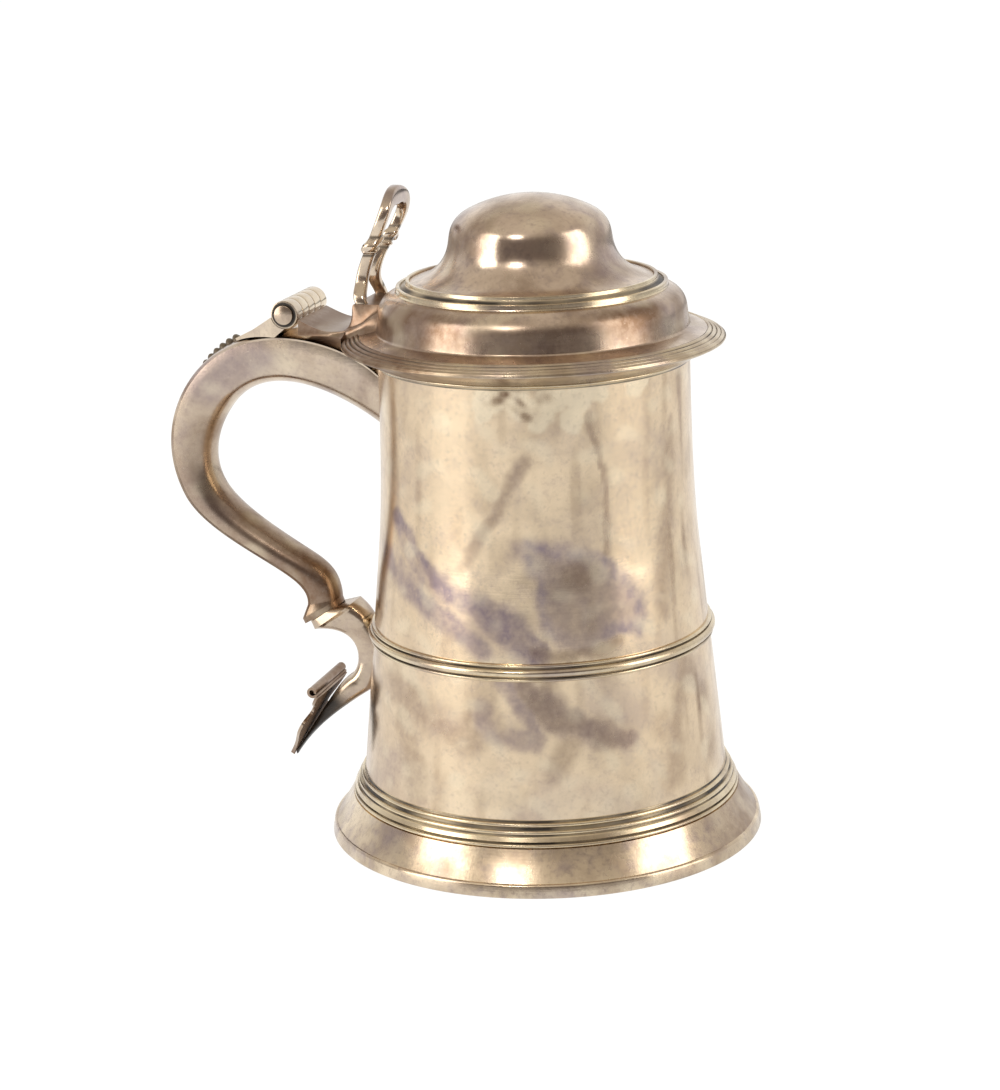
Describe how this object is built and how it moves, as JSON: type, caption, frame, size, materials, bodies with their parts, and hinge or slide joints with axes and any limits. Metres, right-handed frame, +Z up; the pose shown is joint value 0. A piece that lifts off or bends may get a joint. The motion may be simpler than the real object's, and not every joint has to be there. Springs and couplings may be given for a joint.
{
  "type": "lidded tankard",
  "caption": "Antique silver lidded tankard: tapered drum with girdle and spreading foot, hinged domed lid with openwork thumbpiece, hollow scroll handle with heart-shaped terminal.",
  "frame": {"origin": "centre of the circle on which the foot rim stands", "axes": "+Z up along the drum's axis, -X towards the handle, the hinge pin lies along Y"},
  "size_m": [0.1857, 0.135, 0.2005],
  "materials": {
    "tarnished_silver": "hand-raised sterling sheet, worn polish with warm tarnish",
    "patinated_silver": "drawn sterling mouldings with dark patina in the hollows",
    "cast_silver": "cast sterling, worn smooth"
  },
  "bodies": {
    "tankard": {"foot_rim": "patinated_silver", "foot_skirt": "tarnished_silver", "foot_collar": "patinated_silver", "drum": "tarnished_silver", "floor_plate": "tarnished_silver", "lip_wire": "patinated_silver", "girdle": "patinated_silver", "handle_channel": "tarnished_silver", "handle_back": "tarnished_silver", "handle_drop_ornament": "patinated_silver", "handle_scroll": "tarnished_silver", "terminal_heart": "patinated_silver", "standing_leaf": "cast_silver", "fixed_knuckles": "cast_silver", "hinge_pin": "cast_silver", "hinge_end_caps": "cast_silver"},
    "lid": {"lid_shell": "tarnished_silver", "lid_step_moulding": "patinated_silver", "lid_rim_moulding": "patinated_silver", "lid_bezel": "tarnished_silver", "lid_hinge_plate": "cast_silver", "lid_knuckles": "cast_silver", "thumbpiece": "cast_silver"}
  },
  "joints": [
    {"name": "lid_hinge", "type": "hinge", "parent": "tankard", "child": "lid", "pos_m": [-0.0752, 0, 0.1623], "axis": [0, -1, 0], "range_deg": [0, 105]}
  ]
}
